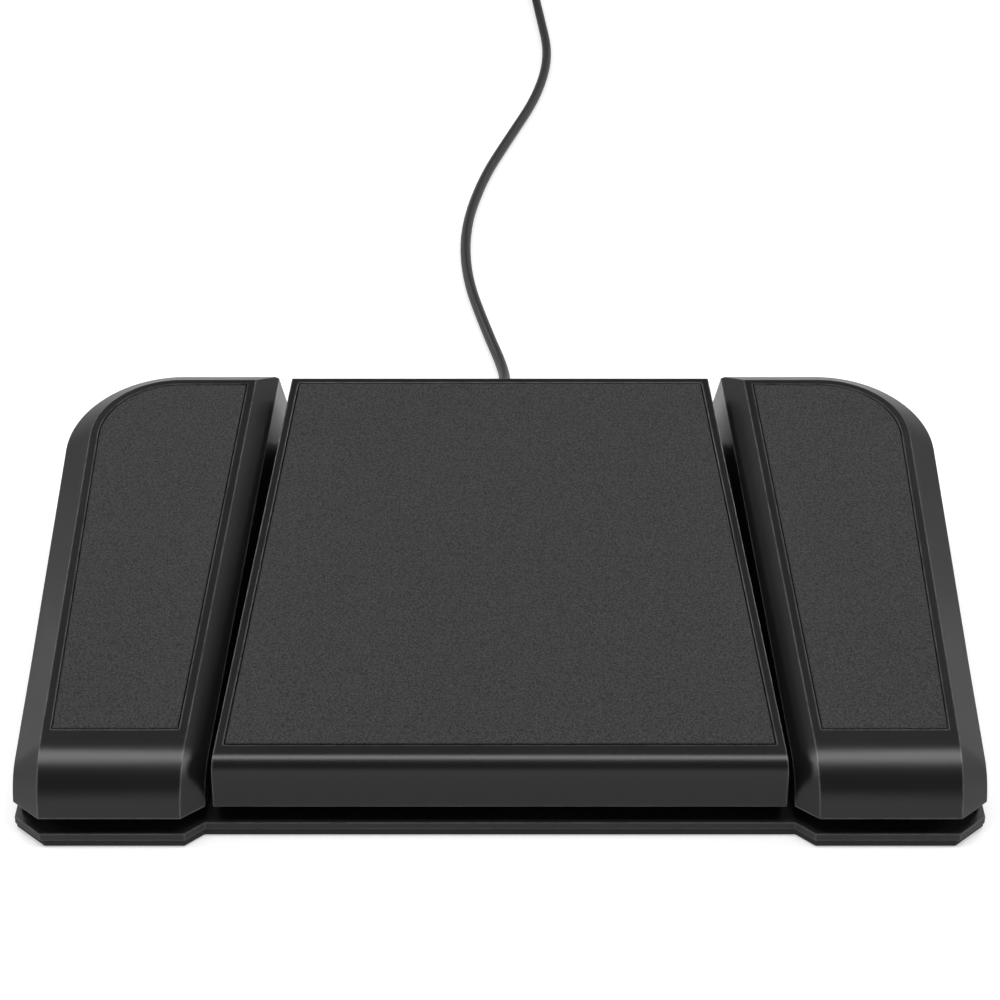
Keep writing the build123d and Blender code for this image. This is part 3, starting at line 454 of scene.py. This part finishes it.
def board_face(name):
    """Coated laminate with paler copper tracks under the green."""
    made, tree, shader = empty_material(name)
    dark_green = (0.008, 0.09, 0.035, 1.0)
    light_green = (0.012, 0.12, 0.05, 1.0)
    track_green = (0.03, 0.24, 0.09, 1.0)
    bare_laminate = (0.35, 0.3, 0.14, 1.0)
    place = object_place(tree)
    lanes = {"Vector": place, "Scale": 150.0, "Mortar Size": 0.07, "Mortar Smooth": 0.1, "Bias": 0.0}
    bricks = add(tree, "ShaderNodeTexBrick", lanes, offset=0.35, squash=1.6, squash_frequency=3)
    tracks = bricks.outputs["Fac"]
    patch = cloud(tree, place, scale=260.0, detail=3.0)
    green = blend_colours(tree, patch, dark_green, light_green)
    worn_and_highlit = effect(
        tree,
        EDGE_HIGHLIGHT_AND_WEAR,
        Colour=blend_colours(tree, tracks, green, track_green),
        Worn_Colour=bare_laminate,
    )
    roughness = blend_values(tree, patch, 0.28, 0.4)
    dress(tree, shader, worn_and_highlit["Colour"], roughness, relief(tree, tracks, depth=30 * MICRON))
    return made


# Finishes, one for each slot of the record

SKINS = {
    # The shells' light grey edge colour is painted highlight lines along their edges, broken up by a
    # cloud.
    "shell_plastic": dict(
        colour=grey(0.006), roughness=0.3, lit_and_worn_colour=grey(0.13), grain=4200.0, depth=6 * MICRON,
        lit_and_worn_amount=0.85, dust=0.012,
    ),
    # The plate's light grey edge colour is a painted highlight line along its edges.
    "plate_paint": dict(
        colour=grey(0.014), roughness=0.42, lit_and_worn_colour=grey(0.12), grain=1400.0, depth=20 * MICRON,
        lit_and_worn_amount=0.7,
    ),
    "mat_rubber": dict(
        colour=grey(0.022), roughness=0.7, lit_and_worn_colour=grey(0.035), grain=2200.0, depth=40 * MICRON,
        specular=0.35,
    ),
    "bumper_rubber": dict(
        colour=grey(0.03), roughness=0.75, lit_and_worn_colour=grey(0.05), depth=30 * MICRON, specular=0.35
    ),
    "cord_jacket": dict(
        colour=grey(0.014), roughness=0.42, lit_and_worn_colour=grey(0.03), grain=2600.0, dust=0.02
    ),
    "skirt_plastic": dict(colour=grey(0.05), roughness=0.5, lit_and_worn_colour=grey(0.08)),
    "stand_plastic": dict(colour=grey(0.09), roughness=0.5, lit_and_worn_colour=grey(0.15)),
    "switch_plastic": dict(colour=grey(0.03), roughness=0.45, lit_and_worn_colour=grey(0.06)),
    "chip_plastic": dict(colour=grey(0.02), roughness=0.6, lit_and_worn_colour=grey(0.05), depth=20 * MICRON),
    "plug_plastic": dict(colour=grey(0.018), roughness=0.48, lit_and_worn_colour=grey(0.04), depth=20 * MICRON),
    "bush_plastic": dict(
        colour=(0.72, 0.7, 0.64, 1.0), roughness=0.4, lit_and_worn_colour=(0.6, 0.57, 0.5, 1.0), tone=0.08
    ),
    "socket_plastic": dict(
        colour=(0.75, 0.71, 0.6, 1.0), roughness=0.45, lit_and_worn_colour=(0.8, 0.77, 0.68, 1.0), tone=0.08
    ),
    "tongue_plastic": dict(
        colour=(0.78, 0.78, 0.75, 1.0), roughness=0.45, lit_and_worn_colour=(0.8, 0.8, 0.78, 1.0), tone=0.05
    ),
    "plunger_plastic": dict(
        colour=(0.5, 0.03, 0.02, 1.0), roughness=0.4, lit_and_worn_colour=(0.62, 0.12, 0.09, 1.0)
    ),
    "lead_jacket": dict(
        colour=(0.3, 0.012, 0.01, 1.0), roughness=0.4, lit_and_worn_colour=(0.4, 0.06, 0.05, 1.0)
    ),
}
METALS = {
    "bracket_steel": dict(colour=(0.58, 0.59, 0.6, 1.0), roughness=0.34, depth=6 * MICRON),
    "screw_steel": dict(colour=(0.5, 0.5, 0.51, 1.0), roughness=0.3),
    "pin_steel": dict(colour=(0.62, 0.62, 0.63, 1.0), roughness=0.22, streaks=4000.0),
    "spring_steel": dict(colour=(0.5, 0.51, 0.53, 1.0), roughness=0.26, streaks=5000.0),
    "plug_metal": dict(colour=(0.72, 0.72, 0.73, 1.0), roughness=0.24),
}
finish = {
    "pad_rubber": grip_sheet("grip_sheet"),
    "tie_fabric": tie_tape("tie_tape"),
    "board_laminate": board_face("board_face"),
}
for slot, values in SKINS.items():
    finish[slot] = skin(slot, **values)
for slot, values in METALS.items():
    finish[slot] = metal(slot, **values)

slot_of = {name: node.material_slots[0].material.name for name, node in cad.items()}
for name, node in cad.items():
    node.material_slots[0].material = finish[slot_of[name]]


# Camera, at the height and lens of the photograph

CAMERA_PLACE = (0.0, -0.6325, 0.4214)
CAMERA_TILT = 59.0
LENS_MM = 100.6
SENSOR_MM = 36.0

camera_lens = bpy.data.cameras.new("camera")
camera_lens.sensor_width = SENSOR_MM
camera_lens.lens = LENS_MM
camera = linked(bpy.data.objects.new("camera", camera_lens))
camera.location = CAMERA_PLACE
camera.rotation_euler = (math.radians(CAMERA_TILT), 0.0, 0.0)
bpy.context.scene.camera = camera


# Cord, in millimetres: the route it lies on, then its coil, then the end with the plug

CORD_RADIUS = 1.75
COIL_CENTRE = (-10.6, 509.5)
COIL_START_RADIUS = 24.6
COIL_PITCH = 4.15
COIL_LOW = 2.45
COIL_STEPS_A_HALF_TURN = 8
COIL_SHARES = [
    [0.0, 0.5, 1.0, 1.5, 2.0, 2.5],
    [2.75, 2.0, 1.5, 1.0, 0.5, 0.0],
    [-0.25, 0.5, 1.0, 1.5, 2.0, 2.5],
    [2.75, 2.0, 1.5, 1.0, 0.5],
]
CORD_ROUTE = [
    (1.2, 108.5, 7.8),
    (1.2, 121.5, 7.8),
    (1.7, 143.5, 1.8),
    (-4.6, 173.5, 1.8),
    (-11.4, 211.5, 1.8),
    (-12.2, 250.5, 1.8),
    (-6.0, 291.5, 1.8),
    (3.0, 325.5, 1.8),
    (14.5, 367.5, 1.8),
    (19.5, 408.5, 1.8),
    (16.5, 448.5, 1.8),
    (14.0, 479.5, 2.45),
]
CORD_TAIL = [
    (11.925, 513.0, 14.9),
    (11.925, 529.0, 14.9),
    (11.925, 549.0, 4.0),
    (11.925, 565.0, 4.0),
]


def coil_crossings():
    """Where the turns cross the line through the coil's middle: X and Z, from side to side."""
    crossings = []
    side = 1.0
    for layer, shares in enumerate(COIL_SHARES):
        for share in shares:
            radius = COIL_START_RADIUS - share * COIL_PITCH
            crossings.append((COIL_CENTRE[0] + side * radius, COIL_LOW + layer * COIL_PITCH))
            side = -side
    return crossings


def coil_points():
    """Control points of the coil's turns, half a turn at a time, from one crossing to the next."""
    crossings = coil_crossings()
    points = []
    step = math.pi / COIL_STEPS_A_HALF_TURN
    way = 1.0
    for (x0, z0), (x1, z1) in zip(crossings, crossings[1:]):
        middle = (x0 + x1) / 2
        reach = (x0 - x1) / 2 / math.cos(step / 2)
        for i in range(COIL_STEPS_A_HALF_TURN):
            angle = (i + 0.5) * step
            x = middle + reach * math.cos(angle)
            y = COIL_CENTRE[1] + way * abs(reach) * math.sin(angle)
            z = z0 + (z1 - z0) * (i + 0.5) / COIL_STEPS_A_HALF_TURN
            points.append((x, y, z))
        way = -way
    return points


def nurbs_cord(name, points, radius):
    """A round tube on one open spline of order 3."""
    line = bpy.data.curves.new(name, "CURVE")
    line.dimensions = "3D"
    spline = line.splines.new("NURBS")
    spline.points.add(len(points) - 1)
    for target, (x, y, z) in zip(spline.points, points):
        target.co = (x * MM, y * MM, z * MM, 1.0)
    spline.order_u = 3
    spline.use_endpoint_u = True
    spline.resolution_u = 6
    spline.use_smooth = True
    line.bevel_depth = radius * MM
    line.bevel_resolution = 5
    line.use_fill_caps = True
    return linked(bpy.data.objects.new(name, line))


usb_lead = nurbs_cord("usb_lead", CORD_ROUTE + coil_points() + CORD_TAIL, CORD_RADIUS)
usb_lead.data.materials.append(finish["cord_jacket"])
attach(usb_lead, "base")
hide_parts("usb_cord", "usb_cord_coil", "usb_cord_tail")


# Smooth copies of the CAD pieces that show most, with their hard edges rounded

SHARP_FROM = math.radians(25.0)
FLAT_WITHIN = math.radians(0.4)
MERGE_WITHIN = 1e-6
SHELL_EDGE = 0.00045
SHEET_EDGE = 0.0003
TIE_EDGE = 0.0004
SLEEVE_EDGE = 0.00012
NO_EDGE = 0.0


def merged_copy(name, node):
    """A node's mesh with its doubles merged, its flat areas joined and its faces smooth."""
    mesh = bpy.data.meshes.new(name)
    work = bmesh.new()
    work.from_mesh(cad[node].data)
    bmesh.ops.remove_doubles(work, verts=work.verts, dist=MERGE_WITHIN)
    bmesh.ops.dissolve_limit(work, angle_limit=FLAT_WITHIN, verts=work.verts, edges=work.edges)
    for face in work.faces:
        face.smooth = True
    for edge in work.edges:
        edge.smooth = True
    work.to_mesh(mesh)
    work.free()
    return mesh


def softened(name, node, width, segments=3):
    """A smooth copy of a node with rounded edges, in the node's place and finish."""
    mesh = merged_copy(name, node)
    mesh.materials.append(finish[slot_of[node]])
    piece = linked(bpy.data.objects.new(name, mesh))
    if width:
        rounding = piece.modifiers.new("rounded_edges", "BEVEL")
        rounding.width = width
        rounding.segments = segments
        rounding.limit_method = "ANGLE"
        rounding.angle_limit = SHARP_FROM
        rounding.harden_normals = True
        rounding.miter_outer = "MITER_ARC"
    weights = piece.modifiers.new("even_shading", "WEIGHTED_NORMAL")
    weights.keep_sharp = True
    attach(piece, cad[node]["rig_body"])
    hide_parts(node)
    return piece


for side in ("left", "centre", "right"):
    softened(side + "_shell", side + "_pedal_shell", SHELL_EDGE)
    softened(side + "_pad", side + "_grip_pad", SHEET_EDGE)
softened("steel_plate", "base_plate", SHEET_EDGE)
softened("rubber_mat", "base_mat", SHEET_EDGE)
for side in SIDES:
    softened(side + "_skirt", side + "_side_skirt", SHEET_EDGE)
    softened(side + "_lead", side + "_switch_lead", NO_EDGE)
softened("centre_lead", "centre_switch_lead", NO_EDGE)
softened("entry_cord", "inner_cord", NO_EDGE)
cord_boot = softened("cord_boot", "strain_relief", NO_EDGE)
tie_band = softened("tie_band", "cord_tie", TIE_EDGE)
plug_grip = softened("plug_grip", "usb_plug_body", SHEET_EDGE)
plug_sleeve = softened("plug_sleeve", "usb_plug_shell", SLEEVE_EDGE, segments=2)


# Return springs, as smooth copies with meshes of their own

def shortening_spring(node):
    """A smooth copy of a return spring, with a mesh of its own."""
    coil = softened(node.replace("return", "coiled"), node, NO_EDGE)
    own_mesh(coil)


for hinge in frame["record"]["behaviour"]["joints"]:
    for deforming in hinge.get("deforming_nodes", ()):
        shortening_spring(deforming["node"])


# Rows of small pieces

def make_piece_row():
    """Repeats a piece along a straight row and gives it its finish."""
    tree = bpy.data.node_groups.new("piece_row", "GeometryNodeTree")
    sockets = tree.interface
    sockets.new_socket("Piece", in_out="INPUT", socket_type="NodeSocketGeometry")
    sockets.new_socket("Count", in_out="INPUT", socket_type="NodeSocketInt")
    sockets.new_socket("Step", in_out="INPUT", socket_type="NodeSocketVector")
    sockets.new_socket("Finish", in_out="INPUT", socket_type="NodeSocketMaterial")
    sockets.new_socket("Row", in_out="OUTPUT", socket_type="NodeSocketGeometry")
    start = tree.nodes.new("NodeGroupInput").outputs
    end = tree.nodes.new("NodeGroupOutput").inputs
    line = {"Count": start["Count"], "Offset": start["Step"]}
    places = add(tree, "GeometryNodeMeshLine", line, mode="OFFSET").outputs["Mesh"]
    repeated = {"Points": places, "Instance": start["Piece"]}
    copies = add(tree, "GeometryNodeInstanceOnPoints", repeated).outputs["Instances"]
    real = add(tree, "GeometryNodeRealizeInstances", {"Geometry": copies}).outputs["Geometry"]
    painted = add(tree, "GeometryNodeSetMaterial", {"Geometry": real, "Material": start["Finish"]})
    feed(tree, painted.outputs["Geometry"], end["Row"])
    return tree


PIECE_ROW = make_piece_row()


def bar_mesh(name, section, low_x, high_x):
    """A closed bar along X from a section of (Y, Z) points, in millimetres."""
    mesh = bpy.data.meshes.new(name)
    work = bmesh.new()
    ends = [[work.verts.new((x * MM, y * MM, z * MM)) for y, z in section] for x in (low_x, high_x)]
    for i in range(len(section)):
        j = (i + 1) % len(section)
        work.faces.new((ends[0][i], ends[0][j], ends[1][j], ends[1][i]))
    work.faces.new(ends[0][::-1])
    work.faces.new(ends[1])
    bmesh.ops.recalc_face_normals(work, faces=work.faces)
    work.to_mesh(mesh)
    work.free()
    return mesh


def piece_row(name, mesh, count, step, slot):
    """A row of copies of a mesh as one plain piece on the base."""
    piece = linked(bpy.data.objects.new(name, mesh))
    row = piece.modifiers.new("row", "NODES")
    row.node_group = PIECE_ROW
    values = {"Count": count, "Step": [part * MM for part in step], "Finish": finish[slot]}
    for item in PIECE_ROW.interface.items_tree:
        if item.in_out == "INPUT" and item.name in values:
            row[item.identifier] = values[item.name]
    evaluated = piece.evaluated_get(bpy.context.evaluated_depsgraph_get())
    plain = bpy.data.meshes.new_from_object(evaluated)
    piece.modifiers.remove(row)
    piece.data = plain
    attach(piece, "base")
    return piece


def box_mm(node):
    """A node's lowest and highest corners, in millimetres."""
    return [[value / MM for value in corner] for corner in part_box(node)]


# The chip's bent legs, in millimetres

LEG_COUNT = 8
LEG_STEP = (1.0, 0.0, 0.0)
LEG_THICKNESS = 0.14
LEG_WIDTH = 0.4
LEG_INSET = 0.8
LEG_SHOULDER = 0.55
LEG_ANKLE = 0.8
LEG_TOE = 1.3
LEG_LEAN = 0.1
chip_low, chip_high = box_mm("controller_chip")
board_top = box_mm("controller_board")[1][2]


def leg_section(edge, way):
    """Side outline of one bent leg, from the chip's wall down to the board."""
    high = (chip_low[2] + chip_high[2]) / 2
    foot = board_top + LEG_THICKNESS
    under = high - LEG_THICKNESS
    outer = [(0.0, high), (LEG_SHOULDER, high), (LEG_ANKLE, foot), (LEG_TOE, foot)]
    heel = (LEG_ANKLE - LEG_LEAN, board_top)
    inner = [(LEG_TOE, board_top), heel, (LEG_SHOULDER - LEG_LEAN, under), (0.0, under)]
    return [(edge + way * y, z) for y, z in outer + inner]


leg_start = chip_low[0] + LEG_INSET
for name, edge, way in (("front", chip_low[1], -1.0), ("rear", chip_high[1], 1.0)):
    leg = bar_mesh(name + "_leg", leg_section(edge, way), leg_start, leg_start + LEG_WIDTH)
    piece_row("chip_legs_" + name, leg, LEG_COUNT, LEG_STEP, "pin_steel")


# The plug's grip ribs, in millimetres

RIB_COUNT = 7
RIB_STEP = (0.0, 1.7, 0.0)
RIB_INSET = 4.0
RIB_RADIUS = 0.45
RIB_RISE = 0.28
RIB_SINK = 0.05
RIB_ARC_STEP = 20
FIRST_RIB = 7.5
plug_low, plug_high = box_mm("usb_plug_body")


def rib_section():
    """Low arch of one rib, its foot just under the plug's top."""
    points = []
    for degrees in range(0, 180 + 1, RIB_ARC_STEP):
        angle = math.radians(degrees)
        y = plug_low[1] + FIRST_RIB + RIB_RADIUS * math.cos(angle)
        points.append((y, plug_high[2] - RIB_SINK + RIB_RISE * math.sin(angle)))
    return points


rib = bar_mesh("grip_rib", rib_section(), plug_low[0] + RIB_INSET, plug_high[0] - RIB_INSET)
grip_ribs = piece_row("plug_grip_ribs", rib, RIB_COUNT, RIB_STEP, "plug_plastic")


# Lamps

def area_lamp(name, place, aim, width, depth, power):
    """A soft rectangular lamp that points from place to aim."""
    lamp = bpy.data.lights.new(name, "AREA")
    lamp.shape = "RECTANGLE"
    lamp.size = width
    lamp.size_y = depth
    lamp.energy = power
    body = linked(bpy.data.objects.new(name, lamp))
    body.location = place
    body.rotation_euler = (Vector(aim) - Vector(place)).to_track_quat("-Z", "Y").to_euler()


area_lamp("top_lamp", (0.0, -0.13, 0.95), (0.0, -0.05, 0.0), width=1.1, depth=0.35, power=6.5)
MIDDLE = (0.0, 0.0, 0.0)
for side, way in SIDES.items():
    area_lamp(side + "_rear_strip", (way * 0.62, 0.85, 0.72), MIDDLE, width=0.5, depth=0.07, power=3.0)
    area_lamp(side + "_side_panel", (way * 1.0, 0.05, 0.45), MIDDLE, width=0.5, depth=0.3, power=2.2)


# The room: white along the horizon, more so in front, and dim above

FRONT_LIGHT = 0.9
REAR_LIGHT = 0.4
UPPER_LIGHT = 0.1


def studio_world():
    """The light that comes from all round."""
    world = bpy.data.worlds.new("studio")
    world.use_nodes = True
    tree = world.node_tree
    direction = add(tree, "ShaderNodeTexCoord").outputs["Generated"]
    parts = add(tree, "ShaderNodeSeparateXYZ", {"Vector": direction}).outputs
    behind = spread(tree, parts["Y"], low=-0.6, high=0.3)
    above = spread(tree, parts["Z"], low=0.12, high=0.5)
    horizon = blend_values(tree, behind, FRONT_LIGHT, REAR_LIGHT)
    background = tree.nodes["Background"]
    background.inputs["Color"].default_value = WHITE
    feed(tree, blend_values(tree, above, horizon, UPPER_LIGHT), background.inputs["Strength"])
    return world


bpy.context.scene.world = studio_world()


# Pale floor that keeps the object's shadow, seen from above only

FLOOR_SIDE = 4.0
FLOOR_FRONT = -4.0
FLOOR_REAR = 6.0
FLOOR_DROP = -0.0002
FLOOR_GLOW = 0.42


def pale_floor():
    """Matt white that glows for the camera and, ahead of the object, in its reflections."""
    made, tree, shader = empty_material("pale_floor")
    shader.inputs["Base Color"].default_value = (0.8, 0.8, 0.8, 1.0)
    shader.inputs["Roughness"].default_value = 0.9
    shader.inputs["Specular IOR Level"].default_value = 0.0
    shader.inputs["Emission Color"].default_value = WHITE
    path = add(tree, "ShaderNodeLightPath").outputs
    place = add(tree, "ShaderNodeSeparateXYZ", {"Vector": object_place(tree)}).outputs
    ahead = spread(tree, maths(tree, "MULTIPLY", place["Y"], -1.0), low=0.15, high=0.5)
    mirrored = maths(tree, "MAXIMUM", path["Is Glossy Ray"], path["Is Transmission Ray"])
    reflected = maths(tree, "MULTIPLY", mirrored, ahead)
    seen = maths(tree, "MAXIMUM", path["Is Camera Ray"], reflected)
    feed(tree, maths(tree, "MULTIPLY", seen, FLOOR_GLOW), shader.inputs["Emission Strength"])
    below = add(tree, "ShaderNodeNewGeometry").outputs["Backfacing"]
    clear = add(tree, "ShaderNodeBsdfTransparent").outputs["BSDF"]
    one_sided = add(tree, "ShaderNodeMixShader", {0: below, 1: shader.outputs["BSDF"], 2: clear})
    feed(tree, one_sided.outputs["Shader"], tree.nodes["Material Output"].inputs["Surface"])
    return made


floor_mesh = bpy.data.meshes.new("studio_floor")
floor_corners = [
    (-FLOOR_SIDE, FLOOR_FRONT, FLOOR_DROP),
    (FLOOR_SIDE, FLOOR_FRONT, FLOOR_DROP),
    (FLOOR_SIDE, FLOOR_REAR, FLOOR_DROP),
    (-FLOOR_SIDE, FLOOR_REAR, FLOOR_DROP),
]
floor_mesh.from_pydata(floor_corners, [], [(0, 1, 2, 3)])
floor_mesh.materials.append(pale_floor())
studio_floor = linked(bpy.data.objects.new("studio_floor", floor_mesh))

bpy.context.scene.view_settings.view_transform = "Standard"
